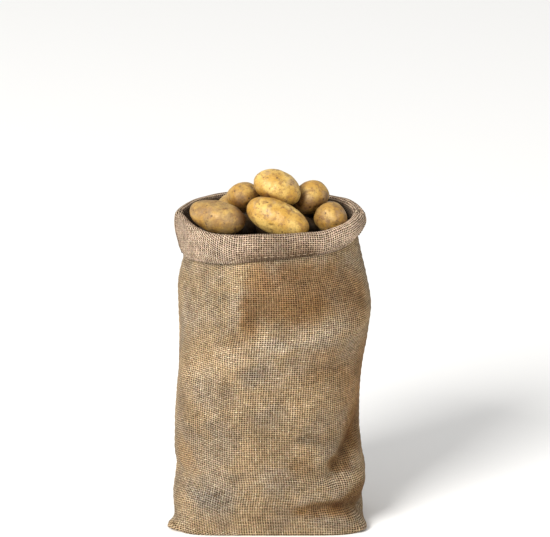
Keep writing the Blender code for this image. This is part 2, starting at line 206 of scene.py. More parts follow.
def hessian(look):
    m = Material("hessianWeave", look["roughness"], look["specular"])
    m.fill(m.shader, look["sheen"])
    height, tone, hair = weave(m, look)
    body = m.add("TexCoord")["Object"]
    warm, light, inside = m.attributes("warm", "light", "inside")
    patches, drift, cloud, stray = [m.noise(body, *look[k]) for k in ("patches", "drift", "cloud", "stray")]
    # painted light and shade from the tones, times a tone that differs at random
    paintedLightAndTone = m.times(m.calc("ADD", light, 1.0), m.ramp(cloud, 0.3, 0.7, 1.2, 0.82))
    yarn = m.layers(
        look["goldenYarn"],
        # browner or greyer in patches
        (m.ramp(patches, 0.42, 0.64, 0.0, 0.5), look["greyYarn"]),
        (m.ramp(drift, 0.48, 0.7, 0.0, 0.42), look["brownYarn"]),
        (m.ramp(warm, 0.0, -1.0), look["greyYarn"]),
        (m.times(inside, 0.85), look["insideYarn"]),
        # each yarn a tone of its own
        (m.ramp(tone, 0.52, 0.78, 0.0, 0.65), look["paleYarn"]),
        (m.ramp(tone, 0.48, 0.22, 0.0, 0.65), look["brownYarn"]),
        # browner for stains and for the warmer colour of painted shade, and deeper still in the deepest
        # painted shade
        (m.ramp(warm, 0.0, 1.0), look["warmTint"], "MULTIPLY"),
        (m.ramp(warm, 1.0, 2.0), look["deepShadeTint"], "MULTIPLY"),
        (look["tintVaries"], m.noise(body, *look["flecks"], output=1), "OVERLAY"),
        (1.0, m.blend(m.ramp(hair, 0.25, 0.75), *look["hairTints"]), "MULTIPLY"),
        # painted shade where the yarns dip, painted highlight on their crowns
        (1.0, m.blend(m.ramp(height, 0.45, 1.42), *look["shadeTints"]), "MULTIPLY"),
        # the painted light and shade, laid on last
        (1.0, m.grey(paintedLightAndTone), "MULTIPLY"),
    )
    # the holes are painted in the dark of the shade behind them
    gap = m.blend(m.ramp(stray, 0.46, 0.66, 0.0, 0.65), *look["gapColours"])
    colour = m.blend(m.ramp(height, 0.05, 0.45), gap, yarn)
    return m.finish(colour, m.timesPlus(hair, 0.25, height), look["bump"], look["bumpDepth"])


# The sack, front towards -Y and side seams along X. Stations run round the cloth from the left
# seam (0) across the front (0.25) to the right seam (0.5) and on across the back.
Section = namedtuple("Section", "height left right lean girth boxiness")
Mouth = namedtuple("Mouth", "around rise roll cuff standOff")
Fold = namedtuple("Fold", "startAround startHeight endAround endHeight width depth")
Ear = namedtuple("Ear", "around forward reach width")
# warm browns the cloth, for stains and for the warmer colour of painted shade, and greys it below zero; the
# light column is painted light and shade; loose opens the weave
Tone = namedtuple("Tone", "around height wide tall warm light loose")

# tables are written in millimetres, thousandths of the way round the cloth, and percent
sectionUnits = (1000, 1000, 1000, 1000, 1000, 1)
mouthUnits = foldUnits = (1000,) * 6
toneUnits = (1000, 1000, 1000, 1000, 100, 100, 100)


def tableOf(kind, units, *rows):
    return [kind(*(value / unit for value, unit in zip(row, units))) for row in rows]


sackShape = {
    "cloth": 0.002,
    "rimTop": 0.4635,
    "slitDepth": 0.007,
    "slitLength": 0.013,
    "cuffBulge": 0.003,  # the cuff swells between the roll and its hem
    "hemTurn": 0.002,  # and its hem turns in towards the wall
    "hemWidth": 0.01,
    "hemEase": 0.002,  # the length over which it thickens
    "hemThick": 0.0008,
    "allowance": 0.0013,  # the seam allowance that shows on the cuff, and where it starts and ends
    "allowanceIn": (-0.0012, 0.0),
    "allowanceOut": (0.008, 0.0092),
    "mouthDeep": 0.06,  # how far down the inside of the mouth shows
    "neckGirth": 0.7,
    "slitTurn": 1.75,  # where on the roll the slit lies
    "slitSpread": 0.45,
    "flatGirth": 0.775,
    "panelColumns": 128,  # columns across each panel, with a few more beside the seams
    "seamColumns": (0.0012, 0.0028, 0.0048, 0.008, 0.0092, 0.011),
    "columnGap": 0.0006,  # columns nearer than this are one
    "footRings": 10,
    "wallRings": 128,
    "rollRings": 14,
    "cuffRings": 15,
    "wall": tableOf(
        Section, sectionUnits,
        (1, 131, 132, -12, 768, 6.5),
        (5, 136.5, 136, -11, 774, 5.8),
        (18, 138, 136, -8, 777, 4.4),
        (43, 139, 133, -5, 779, 3.2),
        (66, 136.5, 137, -3, 779, 2.6),
        (84, 135, 136.5, -1, 777, 2.3),
        (107, 137, 132, -1, 778, 2.3),
        (160, 136, 128.8, 0, 779, 2.2),
        (198, 133, 128.5, 1, 778, 2.2),
        (236, 128, 128.5, 2, 776, 2.2),
        (274, 126, 133.5, 2, 775, 2.2),
        (313, 126, 142, 1, 776, 2.2),
        (340, 125, 142.5, 0, 773, 2.2),
        (368, 122, 138.5, 0, 765, 2.2),
        (395, 119.5, 131, 1, 750, 2.2),
        (425, 119, 125.5, 1, 733, 2.2),
        (456, 118.5, 118.5, 1, 714, 2.2),
    ),
    "riseFrom": 0.36,
    "mouth": tableOf(
        Mouth, mouthUnits,
        (0, 1, 4.2, 60, 6.5),
        (125, -7.5, 4.8, 43.5, 8.5),
        (250, -2.5, 5, 36.5, 8),
        (375, -2.5, 5.5, 32, 8.5),
        (500, 3, 8, 31, 11),
        (625, 1, 4, 47, 8),
        (750, 0, 3.6, 45, 8),
        (875, 1, 3.6, 52, 8),
    ),
    "seam": {  # it pulls the cloth in, and puckers it beside the stitches
        "pull": 0.0016,
        "pullWidth": 0.002,
        "ridge": 0.0011,
        "ridgeAway": 0.0055,
        "ridgeWidth": 0.003,
        "pucker": 0.3,
        "puckerStep": 0.011,
        "from": (0.004, 0.03),
    },
    "foldsStart": (0.003, 0.022),
    "foldsEnd": (0.4, 0.44),
    "folds": tableOf(
        Fold, foldUnits,
        (472, 154, 392, 110, 18, 12.5),  # right, above the foot
        (392, 110, 368, 78, 16, 11),  # and steeper at its lower end
        (520, 13, 425, 34, 10, 11),  # right, where the foot creases
        (425, 34, 320, 43, 10, 12),
        (460, 74, 350, 78, 13, -4),  # the ridge between them
        (450, 18, 390, 16, 12, -3),  # the bulge below it
        (270, 398, 450, 388, 26, 5.5),  # hollow under the cuff
        (198, 415, 204, 320, 18, -4.5),  # the ridge that drops to its left
        (205, 408, 238, 392, 13, 4.5),
        (225, 306, 430, 318, 22, -5),  # the potatoes press out here
        (270, 262, 440, 268, 20, 3.5),
        (130, 250, 205, 308, 14, -4.5),
        (20, 88, 110, 70, 14, 6),  # left, near the foot
        (990, 90, 930, 120, 15, 5),
        (590, 360, 720, 330, 18, 4.5),  # back
        (560, 60, 700, 48, 11, 7),
        (800, 300, 900, 240, 20, 4.5),
        (780, 400, 880, 385, 20, 4),
        (650, 180, 800, 150, 26, 4),
    ),
    "creases": tableOf(  # finer than the folds
        Fold, foldUnits,
        (450, 40, 340, 52, 5, 2.5),
        (180, 395, 215, 372, 6, 1.5),
        (30, 40, 120, 30, 7, 2),
        (560, 68, 690, 58, 5, 2.5),
        (890, 50, 980, 60, 6, 2.2),
        (640, 300, 760, 290, 7, 1.6),
    ),
    "footEars": (Ear(0.0, 0.045, 0.013, 0.017), Ear(0.5, 0.055, 0.008, 0.018)),
    "mouthEars": (Ear(0.0, 0.0, 0.0065, 0.022), Ear(0.5, 0.0, 0.001, 0.02)),
    "footEarHeight": 0.016,
    "footEarFrom": (0.0, 0.004),
    "mouthEarsFrom": (0.41, 0.45),
    "foldShare": 0.86,
    "lumps": 46,
    "lumpSeed": 11,
    "lumpLevels": (0.04, 0.37),
    "lumpHeight": (0.0015, 0.0042),
    "lumpRadius": (0.024, 0.038),
    "rumple": 0.0012,  # uneven surface all over
    "rumpleScale": 26.0,
    "rumpleFrom": (0.01, 0.04),
    "wander": 0.007,  # how far the edges of the tones stray
    "wanderScale": 45.0,
    "skewRise": 0.46,  # the weft climbs from the left seam, because the cloth hangs askew
    "skewUntil": (0.16, 0.205),
    "darkHemFrom": (0.17, 0.24),  # the part of the cuff's hem that gets painted shade
    "darkHemTo": (0.47, 0.4),
    "darkHemRise": (0.016, 0.004),
    # how much warmer and how much darker the painted shade on the hem is
    "hemWarm": 0.15,
    "hemShade": 0.25,
    # painted shade inside the mouth
    "mouthPaintedShade": -0.76,
    "cuffLoose": 0.6,
    "charts": {  # where each part lies up the flat map
        "wall": (0.002, 0.76),
        "mouth": (0.766, 0.93),
        "lining": (0.935, 0.978),
        "edge": (0.98, 0.9825),
        "cuffBack": (0.985, 0.998),
    },
    "tones": tableOf(
        Tone, toneUnits,
        (222, 392, 26, 32, 40, -4, 0),  # brown and shaded, right of the ridge
        (218, 345, 36, 30, 60, -28, 0),
        (203, 340, 16, 32, 50, -22, 0),
        (300, 344, 56, 28, 75, -38, 0),
        (300, 388, 80, 36, 75, -14, 0),
        (340, 400, 60, 22, 30, -4, 0),
        (350, 280, 50, 12, 45, 20, 0),
        (176, 303, 24, 11, 35, -20, 0),
        (415, 360, 55, 40, 75, -6, 0),
        (352, 252, 44, 20, 50, -18, 50),
        (430, 230, 50, 60, 65, 16, 50),
        (440, 160, 45, 30, 40, -6, 0),
        (255, 296, 55, 12, -50, 40, 60),  # greyer, with painted highlight and a more open weave, where the cloth is stretched
        (340, 308, 45, 12, -25, 42, 40),
        (425, 320, 50, 10, 10, 34, 30),
        (178, 276, 30, 13, -35, 34, 20),
        (132, 248, 30, 16, -30, 28, 20),
        (285, 190, 50, 18, -20, 8, 20),
        (120, 370, 40, 50, -15, 2, 20),
        (210, 205, 110, 50, -16, -4, 10),
        (218, 252, 26, 18, -35, -12, 100),
        (270, 222, 60, 14, 20, -12, 30),
        (312, 112, 30, 22, 40, -18, 0),
        (352, 150, 30, 12, 30, -20, 0),
        (340, 190, 50, 50, 20, 4, 0),
        (149, 60, 40, 20, -50, -6, 60),
        (100, 62, 24, 16, -40, -6, 50),
        (100, 150, 70, 70, 10, -8, 20),
        (90, 320, 60, 60, 0, -6, 10),
        (250, 110, 60, 60, 10, -8, 10),
        (323, 150, 28, 8, -35, -22, 80),
        (338, 131, 22, 12, -20, 16, 40),
        (452, 150, 36, 28, 90, -28, 0),  # painted shade, warm and deep, in the trough and the crease at the right
        (424, 128, 28, 22, 60, -30, 0),
        (404, 110, 30, 22, 90, -38, 0),
        (380, 106, 18, 14, 60, -20, 0),
        (392, 80, 45, 9, -20, 24, 30),
        (440, 60, 30, 14, 80, -30, 0),
        (325, 84, 40, 12, -30, 16, 50),
        (345, 42, 52, 14, 120, -36, 0),
        (405, 42, 38, 17, 110, -42, 0),
        (462, 38, 36, 18, 90, -34, 0),
        (85, 22, 50, 18, -15, -16, 10),
        (475, 150, 28, 60, 60, -16, 0),
        (478, 245, 30, 50, 55, 4, 30),
        (380, 14, 50, 12, -10, -12, 20),
        (60, 190, 40, 60, 20, 2, 0),
        (80, 110, 50, 30, 30, -2, 0),
        (240, 30, 50, 16, 20, -6, 30),
        (700, 240, 60, 40, -30, 10, 50),
        (780, 330, 70, 30, 60, -14, 0),
        (850, 120, 60, 30, -35, -5, 50),
        (640, 80, 50, 25, 70, -20, 0),
        (600, 190, 50, 30, -20, 12, 20),
        (900, 330, 60, 40, 40, -10, 0),
        (930, 60, 40, 20, 60, -12, 0),
    ),
    # tints, and painted light and shade, on the cuff
    "cuffTones": tableOf(
        Tone, toneUnits,
        (270, 440, 70, 40, 30, -28, 0),
        (318, 432, 36, 12, 30, -26, 0),
        (212, 427, 36, 12, 20, -22, 0),
        (368, 450, 36, 20, 0, 22, 0),
        (425, 450, 50, 40, 5, 60, 0),
        (120, 440, 60, 50, -5, 6, 30),
        (700, 440, 100, 30, 30, -10, 0),
    ),
}


def between(low, high, x):
    t = np.clip((x - low) / (high - low), 0.0, 1.0)
    return t * t * (3 - 2 * t)


def bell(x):
    return np.exp(-(x**2))


def runAlong(points):
    # how far along the line each point lies
    return np.concatenate([[0], np.cumsum(np.linalg.norm(np.diff(points, axis=0), axis=1))])


def dropOf(grid):
    # how far each ring lies along the cloth, from the fold under the foot
    steps = np.linalg.norm(np.diff(grid, axis=0), axis=2).mean(axis=1)
    return np.concatenate([[0], np.cumsum(steps)])


def smoothRows(rows, places):
    # a table read between its rows, on a smooth curve through them
    table = np.array(rows, float)
    slope = np.gradient(table, axis=0)
    places = np.atleast_1d(places)
    index = np.clip(places.astype(int), 0, len(table) - 2)
    t = (places - index)[:, None]
    a, b = table[index], table[index + 1]
    ta, tb = slope[index], slope[index + 1]
    return (
        (2 * t**3 - 3 * t**2 + 1) * a
        + (t**3 - 2 * t**2 + t) * ta
        + (3 * t**2 - 2 * t**3) * b
        + (t**3 - t**2) * tb
    )


def oval(left, right, halfDepth, boxiness, angle):
    c, s = np.cos(angle), np.sin(angle)
    halfWidth = np.where(c < 0, left, right)
    radius = (np.abs(c / halfWidth) ** boxiness + np.abs(s / halfDepth) ** boxiness) ** (-1 / boxiness)
    return np.stack([radius * c, radius * s], axis=-1)


def halfDepthFor(left, right, girth, boxiness):
    # the cloth doesn't stretch, so the depth follows from the width and the girth
    angle = np.linspace(0, 2 * math.pi, 241)
    low, high = 0.02, 0.25
    for _ in range(24):  # halving the range each time
        middle = (low + high) / 2
        points = oval(left, right, middle, boxiness, angle)
        length = np.linalg.norm(np.diff(points, axis=0), axis=1).sum()
        low, high = (middle, high) if length < girth else (low, middle)
    return middle


def panelPoints(size, firstAngle, shares):
    dense = oval(*size, firstAngle + np.linspace(0, math.pi, 361))
    run = runAlong(dense)
    return np.stack([np.interp(shares * run[-1], run, dense[:, k]) for k in (0, 1)], axis=-1)


def panelShares(shape):
    # even columns across the front panel, and extra ones close to both seams
    panel = shape["flatGirth"] / 2
    beside = [d / panel for d in shape["seamColumns"]]
    even = [k / shape["panelColumns"] for k in range(shape["panelColumns"])]
    shares = sorted(even + beside + [1 - b for b in beside])
    kept = [0.0]
    for share in shares[1:]:
        if share - kept[-1] > shape["columnGap"] / panel:
            kept.append(share)
    return np.array(kept)


def stationsOf(shares):
    # the back panel mirrors the front, so that the two meet along the fold under the foot
    back = np.concatenate([[0.0], (1 - shares[1:])[::-1]])
    return np.concatenate([shares / 2, 0.5 + back / 2])


def ringAt(section, stations):
    halfDepth = halfDepthFor(section.left, section.right, section.girth, section.boxiness)
    size = (section.left, section.right, halfDepth, section.boxiness)
    front = stations[stations < 0.5] * 2
    back = (stations[stations >= 0.5] - 0.5) * 2
    points = np.concatenate([panelPoints(size, -math.pi, front), panelPoints(size, 0.0, back)])
    points[:, 1] += section.lean
    return np.column_stack([points, np.full(len(stations), section.height)])


def outward(points):
    along = np.roll(points, -1, axis=0) - np.roll(points, 1, axis=0)
    normal = np.column_stack([along[:, 1], -along[:, 0], np.zeros(len(points))])
    return normal / np.linalg.norm(normal, axis=1)[:, None]


def roundDistance(around, station, girth):
    return ((around - station + 0.5) % 1.0 - 0.5) * girth


def lumpsOf(shape):
    draw = random.Random(shape["lumpSeed"])
    return [
        (draw.random(), draw.uniform(*shape["lumpLevels"]), draw.uniform(*shape["lumpRadius"]),
         draw.uniform(*shape["lumpHeight"]))
        for _ in range(shape["lumps"])
    ]


def foldRelief(folds, around, height, girth):
    out = np.zeros(len(around))
    for fold in folds:
        run = Vector(((fold.endAround - fold.startAround) * girth, fold.endHeight - fold.startHeight))
        x = roundDistance(around, fold.startAround, girth)
        y = height - fold.startHeight
        t = (x * run.x + y * run.y) / run.length_squared
        away = (x * run.y - y * run.x) / run.length
        # it fades out a little past both its ends
        fade = between(-0.25, 0.2, t) * (1 - between(0.7, 1.25, t))
        out -= fold.depth * bell(away / fold.width) * fade
    return out


def seamRelief(seam, around, height, girth):
    out = np.zeros(len(around))
    pucker = 1 - seam["pucker"] + seam["pucker"] * np.cos(2 * math.pi * height / seam["puckerStep"])
    for station in (0.0, 0.5):
        away = np.abs(roundDistance(around, station, girth))
        out -= seam["pull"] * bell(away / seam["pullWidth"])
        out += seam["ridge"] * bell((away - seam["ridgeAway"]) / seam["ridgeWidth"]) * pucker
    return out * between(*seam["from"], height)


def relief(shape, around, height, girth):
    out = foldRelief(shape["folds"] + shape["creases"], around, height, girth)
    for station, level, radius, rise in lumpsOf(shape):
        x = roundDistance(around, station, girth)
        out += rise * np.exp(-(x**2 + (height - level) ** 2) / radius**2)
    return out * between(*shape["foldsStart"], height) * (1 - between(*shape["foldsEnd"], height))


def mouthAt(shape, around):
    rows = [row[1:] for row in shape["mouth"]]
    closed = rows[-2:] + rows + rows[:3]
    return smoothRows(closed, 2 + (around % 1.0) * len(rows)).T


def earReach(ears, around, girth):
    reach = np.zeros(len(around))
    for ear in ears:
        station = ear.around + ear.forward / girth * (1 if ear.around == 0.0 else -1)
        reach += ear.reach * bell(roundDistance(around, station, girth) / ear.width)
    return reach


def wallRing(shape, place, stations):
    section = Section(*smoothRows(shape["wall"], place)[0])
    points = ringAt(section, stations)
    height = points[:, 2]
    low = between(*shape["footEarFrom"], height) * (1 - between(0.3, 1.0, height / shape["footEarHeight"]))
    out = relief(shape, stations, height, section.girth)
    out += earReach(shape["footEars"], stations, section.girth) * low
    out += earReach(shape["mouthEars"], stations, section.girth) * between(*shape["mouthEarsFrom"], height)
    out += seamRelief(shape["seam"], stations, height, section.girth)
    points = points + outward(points) * out[:, None]
    rise = mouthAt(shape, stations)[0]
    points[:, 2] += rise * between(shape["riseFrom"], shape["wall"][-1].height, section.height)
    return points


def cuffRing(shape, neck, stations, offset, drop):
    points = neck + outward(neck) * offset[:, None]
    points[:, 2] = shape["rimTop"] - shape["cloth"] / 2 + mouthAt(shape, stations)[0] - drop
    return points


def evenPlaces(shape, count):
    # places in the wall table that are evenly spaced up the cloth, as if it were round
    places = np.linspace(0, len(shape["wall"]) - 1, 400)
    sections = [Section(*row) for row in smoothRows(shape["wall"], places)]
    front = np.array([[-0.5 * section.girth / math.pi, section.height] for section in sections])
    run = runAlong(front)
    return np.interp(np.linspace(0, run[-1], count), run, places)


def sackRings(shape, stations):
    edge = wallRing(shape, 0.0, stations)
    foot = shape["wall"][0]
    share = 1 - np.abs(1 - 2 * stations)
    fold = np.empty_like(edge)
    fold[:, 0] = ((foot.left + foot.right) * share - foot.left) * shape["foldShare"]
    fold[:, 1:] = foot.lean, foot.height
    steps = np.linspace(0, 1, shape["footRings"], endpoint=False)
    rings = [fold + (edge - fold) * step for step in steps]
    rings += [wallRing(shape, p, stations) for p in evenPlaces(shape, shape["wallRings"])]
    neck = rings[-1]
    _, roll, cuff, standOff = mouthAt(shape, stations)
    # at the right seam the roll is pinched into a slit
    pinch = shape["slitDepth"] * bell(roundDistance(stations, 0.5, shape["neckGirth"]) / shape["slitLength"])
    for turn in np.linspace(0, math.pi, shape["rollRings"] + 1)[1:]:
        slit = pinch * bell((turn - shape["slitTurn"]) / shape["slitSpread"])
        drop = roll * (1 - math.sin(turn)) + slit
        rings.append(cuffRing(shape, neck, stations, roll * (1 - math.cos(turn)), drop))
    standOff = standOff - earReach(shape["mouthEars"], stations, shape["wall"][-1].girth)
    for step in np.linspace(0, 1, shape["cuffRings"] + 1)[1:]:
        offset = 2 * roll + (standOff - 2 * roll) * between(0, 1, step)
        offset += shape["cuffBulge"] * math.sin(math.pi * step) - shape["hemTurn"] * between(0.75, 1.0, step)
        rings.append(cuffRing(shape, neck, stations, offset, roll + (cuff - roll) * step))
    return np.array(rings)


def surfaceNormals(grid):
    along = np.roll(grid, -1, axis=1) - np.roll(grid, 1, axis=1)
    up = np.empty_like(grid)
    up[1:-1] = grid[2:] - grid[:-2]
    up[0], up[-1] = grid[1] - grid[0], grid[-1] - grid[-2]
    normal = np.cross(along, up)
    return normal / np.linalg.norm(normal, axis=2)[:, :, None]


def tonesAt(tones, around, height):
    # soft-edged patches, flat in the middle
    flatness = 1.4
    found = np.zeros((3, *around.shape))
    for tone in tones:
        x = roundDistance(around, tone.around, 1.0) / tone.wide
        y = (height - tone.height) / tone.tall
        share = np.exp(-((x**2 + y**2) ** flatness))
        found += np.array([tone.warm, tone.light, tone.loose])[:, None, None] * share
    return found


def skewAt(shape, stations):
    # how far the weft has climbed from the left seam
    steps = np.linspace(0, 0.5, 201)
    slope = shape["skewRise"] * (1 - between(*shape["skewUntil"], steps))
    climb = np.concatenate([[0], np.cumsum((slope[1:] + slope[:-1]) / 2 * np.diff(steps))])
    return np.interp(stations, steps, climb * shape["flatGirth"]) * (stations < 0.5)


def meshFrom(name, points, faces, attributes):
    mesh = bpy.data.meshes.new(name)
    mesh.from_pydata(points.tolist(), [], faces)
    for key, values in attributes.items():
        made = mesh.attributes.new(key, "FLOAT", "POINT")
        made.data.foreach_set("value", np.ascontiguousarray(values, dtype=np.float32))
    return mesh


def putInScene(name, data):
    made = bpy.data.objects.new(name, data)
    bpy.context.scene.collection.objects.link(made)
    return made


def addObject(mesh, material):
    mesh.materials.append(material)
    mesh.shade_smooth()
    made = putInScene(mesh.name, mesh)
    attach(made, "root")
    return made


def cornersAt(ring, i):
    return (ring, i), (ring, i + 1), (ring + 1, i + 1), (ring + 1, i)


def gridFaces(rings, count):
    return [
        [r * count + c % count for r, c in cornersAt(ring, i)]
        for ring in range(rings - 1)
        for i in range(count)
    ]


def chartRows(drop, first, last, low, high):
    # where each ring from first to last lies up the flat map
    share = (drop - drop[first]) / (drop[last] - drop[first])
    return low + (high - low) * share


def rumpled(shape, grid, normals):
    noises = np.array([[noise.noise(Vector(p)) for p in ring] for ring in grid * shape["rumpleScale"]])
    settled = between(*shape["rumpleFrom"], grid[:, :, 2])
    settled[:shape["footRings"]] = 0.0
    return grid + normals * (noises * settled * shape["rumple"])[:, :, None]


def innerDepth(shape, stations, drop, neckRing):
    # the turned hem is a little thicker, and so is the seam allowance that shows on the cuff
    hem, ease = shape["hemWidth"], shape["hemEase"]
    thick = shape["cloth"] / 2 + shape["hemThick"] * (1 - between(hem - ease, hem, drop[-1] - drop))
    allowance = np.zeros(len(stations))
    for station, side in ((0.0, 1), (0.5, -1)):
        away = roundDistance(stations, station, shape["flatGirth"]) * side
        edges = between(*shape["allowanceIn"], away) * (1 - between(*shape["allowanceOut"], away))
        allowance += shape["allowance"] * edges
    onCuff = between(neckRing + 2, neckRing + 4, np.arange(len(drop)))
    return thick[:, None] + allowance[None, :] * onCuff[:, None]


def sackTones(shape, grid, stations, drop, neckRing):
    # what the hessian reads at each point, outside and inside, painted light and shade among it; the patches'
    # edges wander
    fine = grid * shape["wanderScale"]
    wander = np.array([[noise.noise_vector(Vector(p))[:2] for p in ring] for ring in fine])
    around = stations + wander[:, :, 0] * shape["wander"] / shape["flatGirth"]
    level = grid[:, :, 2] + wander[:, :, 1] * shape["wander"]
    warm, light, loose = tonesAt(shape["tones"], around, level)
    cuffWarm, cuffPaintedLight, cuffLoose = tonesAt(shape["cuffTones"], around, grid[:, :, 2])
    turned = between(neckRing, neckRing + 3, np.arange(len(grid)))[:, None] * np.ones(len(stations))
    keep = 1 - turned
    # painted shade on the right part of the cuff's hem, and painted shade inside the mouth
    right = between(*shape["darkHemFrom"], stations) * between(*shape["darkHemTo"], stations)
    hem = between(*shape["darkHemRise"], drop[-1] - drop)[:, None] * right
    askew = between(*reversed(shape["skewUntil"]), stations) * np.ones((len(grid), 1)) * keep
    none = np.zeros(warm.shape)
    return {
        "warm": (warm * keep, hem * shape["hemWarm"] + cuffWarm * turned),
        "light": (light * keep, shape["mouthPaintedShade"] * keep - shape["hemShade"] * hem + cuffPaintedLight * turned),
        "loose": (loose * keep, (shape["cuffLoose"] + cuffLoose) * turned),
        "askew": (askew, none),
        "inside": (none, none + 1.0),
    }


def makeSack(shape, material):
    shares = panelShares(shape)
    stations = stationsOf(shares)
    count, half = len(stations), len(shares)
    grid = sackRings(shape, stations)
    rings = len(grid)
    # one cloth along the fold: the back panel's points there are the front's
    for i in range(1, half):
        grid[0, i] = grid[0, count - i] = (grid[0, i] + grid[0, count - i]) / 2
    normals = surfaceNormals(grid)
    normals[0] = (0, 0, -1)
    neckRing = shape["footRings"] + shape["wallRings"] - 1
    grid = rumpled(shape, grid, normals)
    drop = dropOf(grid)
    # the cloth's own length up each warp yarn, kept level below the roll
    alongWarp = np.tile(drop[:, None], (1, count))
    turnedSteps = np.linalg.norm(np.diff(grid[neckRing:], axis=0), axis=2)
    alongWarp[neckRing + 1:] = drop[neckRing] + np.cumsum(turnedSteps, axis=0)
    inner = grid - normals * innerDepth(shape, stations, drop, neckRing)[:, :, None]
    outer = grid + normals * (shape["cloth"] / 2)

    def corner(layer, ring, column):
        column %= count
        if ring == 0 and column > half:
            column = count - column
        return (layer * rings + ring) * count + column

    faces, places, charts = [], [], []
    around = np.append(stations, 1.0) * shape["flatGirth"]
    skew = np.append(skewAt(shape, stations), 0.0)
    flat = around / around[-1]
    # the flat map: the wall's outside, then the mouth and cuff, then what is hidden
    last = rings - 1
    mouthRing = int(np.searchsorted(drop, drop[neckRing] - shape["mouthDeep"]))
    wall, mouth, lining, cuffBack = [
        chartRows(drop, first, end, *shape["charts"][name])
        for first, end, name in ((0, neckRing, "wall"), (mouthRing, last, "mouth"),
                                 (0, mouthRing, "lining"), (neckRing, last, "cuffBack"))
    ]
    for ring in range(last):
        rows = (wall if ring < neckRing else cuffBack, lining if ring < mouthRing else mouth)
        for i in range(count):
            four = cornersAt(ring, i)
            spots = [(around[c], alongWarp[r, c % count] - (skew[c] if c < half or c == i else 0.0))
                     for r, c in four]
            for layer, turn in ((0, 1), (1, -1)):
                faces.append([corner(layer, r, c) for r, c in four[::turn]])
                places.append(spots[::turn])
                charts.append([(flat[c], rows[layer][r]) for r, c in four[::turn]])
    for i in range(count):
        faces.append([corner(layer, last, c) for layer, c in ((0, i), (0, i + 1), (1, i + 1), (1, i))])
        top = alongWarp[last, i]
        for spots, row, low, high in ((places, around, top, top + shape["cloth"]),
                                      (charts, flat, *shape["charts"]["edge"])):
            spots.append([(row[i], low), (row[i + 1], low), (row[i + 1], high), (row[i], high)])
    values = {
        name: np.concatenate([outside.ravel(), inside.ravel()])
        for name, (outside, inside) in sackTones(shape, grid, stations, drop, neckRing).items()
    }
    mesh = meshFrom("sackCloth", np.concatenate([outer.reshape(-1, 3), inner.reshape(-1, 3)]), faces, values)
    for name, spots in (("clothMap", places), ("OFBake", charts)):
        mesh.uv_layers.new(name=name).data.foreach_set("uv", np.array(spots, dtype=np.float32).ravel())
    mesh.uv_layers["clothMap"].active = True
    mesh.uv_layers["clothMap"].active_render = True
    tidy = bmesh.new()
    tidy.from_mesh(mesh)
    bmesh.ops.delete(tidy, geom=[v for v in tidy.verts if not v.link_faces], context="VERTS")
    tidy.to_mesh(mesh)
    tidy.free()
    made = addObject(mesh, material)
    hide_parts("sack")
    return made, grid, normals


# The potatoes. across and back place each over the floor; heading turns its long axis about Z, and
# noseDown and roll tip it.
Potato = namedtuple("Potato", "name across back heading noseDown roll length width thick taper")

potatoShape = {
    "fineness": 6,  # icosphere subdivisions
    "hiddenFineness": 5,
    "waves": 4,
    "waveRate": 3.2,
    "waveShare": 0.022,
    "bumps": 0.0007,
    "bumpScale": 75.0,
    "bend": 0.5,  # it bends sideways with its taper
    "bendAbout": 0.4,
    "eyes": 9,
    "eyeSpan": 0.9,  # how far towards both ends they lie, and how far they stray
    "eyeStray": (-0.12, 0.12),
    "eyeTurn": (-0.5, 0.5),
    "eyeLast": 0.97,
    "eyeRadius": (0.0024, 0.0042),
    "eyeDepth": (0.0008, 0.0018),
    "eyeDark": 0.55,  # radius of its dark middle, as a share of its own
    "browHeight": 0.5,  # the brow over it, as a share of the eye's depth
    "browAway": 1.6,  # and of its radius
    "browRadius": 1.4,
    "goldenTurn": 2.39996,
    "roughFineness": 3,  # for what stands in for the potatoes in a search
    # rays that measure how closed in the skin is, for the painted shade
    "rays": 90,
    "raySeed": 8,
    "rayStart": 0.0008,  # off the skin
    "rayLean": 0.05,  # rays flatter to the skin than this don't count
    "rayReach": 0.06,  # a neighbour further off than this doesn't shade the skin
    "clothShade": 0.35,
    "dirt": (1.38, 0.1, 0.7, 1.2, 0.5, 0.4, 0.6, 0.6, 0.45, 0.5, 0.0),  # one by one
    "rows": (
        Potato("potato_01", -0.0755, -0.04, -27, 8, 10, 0.091, 0.05, 0.045, 0.08),
        Potato("potato_02", 0.0115, -0.057, -20, 16, 0, 0.099, 0.053, 0.049, -0.07),
        Potato("potato_03", 0.0865, -0.034, 25, 0, 20, 0.049, 0.045, 0.041, 0.05),
        Potato("potato_04", -0.056, 0.05, 60, 0, -15, 0.06, 0.044, 0.036, 0.08),
        Potato("potato_05", -0.005, 0.074, 176, 0, 30, 0.062, 0.042, 0.036, -0.06),
        Potato("potato_06", 0.055, 0.066, 195, 4, 0, 0.056, 0.044, 0.04, 0.08),
        Potato("potato_07", 0.087, 0.028, 80, 6, 0, 0.052, 0.04, 0.036, 0.05),
        Potato("potato_08", -0.037, 0.01, 20, 0, 0, 0.049, 0.046, 0.039, 0.04),
        Potato("potato_09", 0.057, 0.013, 10, -32, 0, 0.061, 0.047, 0.044, 0.1),
        Potato("potato_10", 0.014, 0.041, 105, 0, 0, 0.054, 0.046, 0.042, 0.07),
        Potato("potato_11", 0.012, -0.012, -15, 24, 0, 0.07, 0.051, 0.048, -0.06),
    ),
}

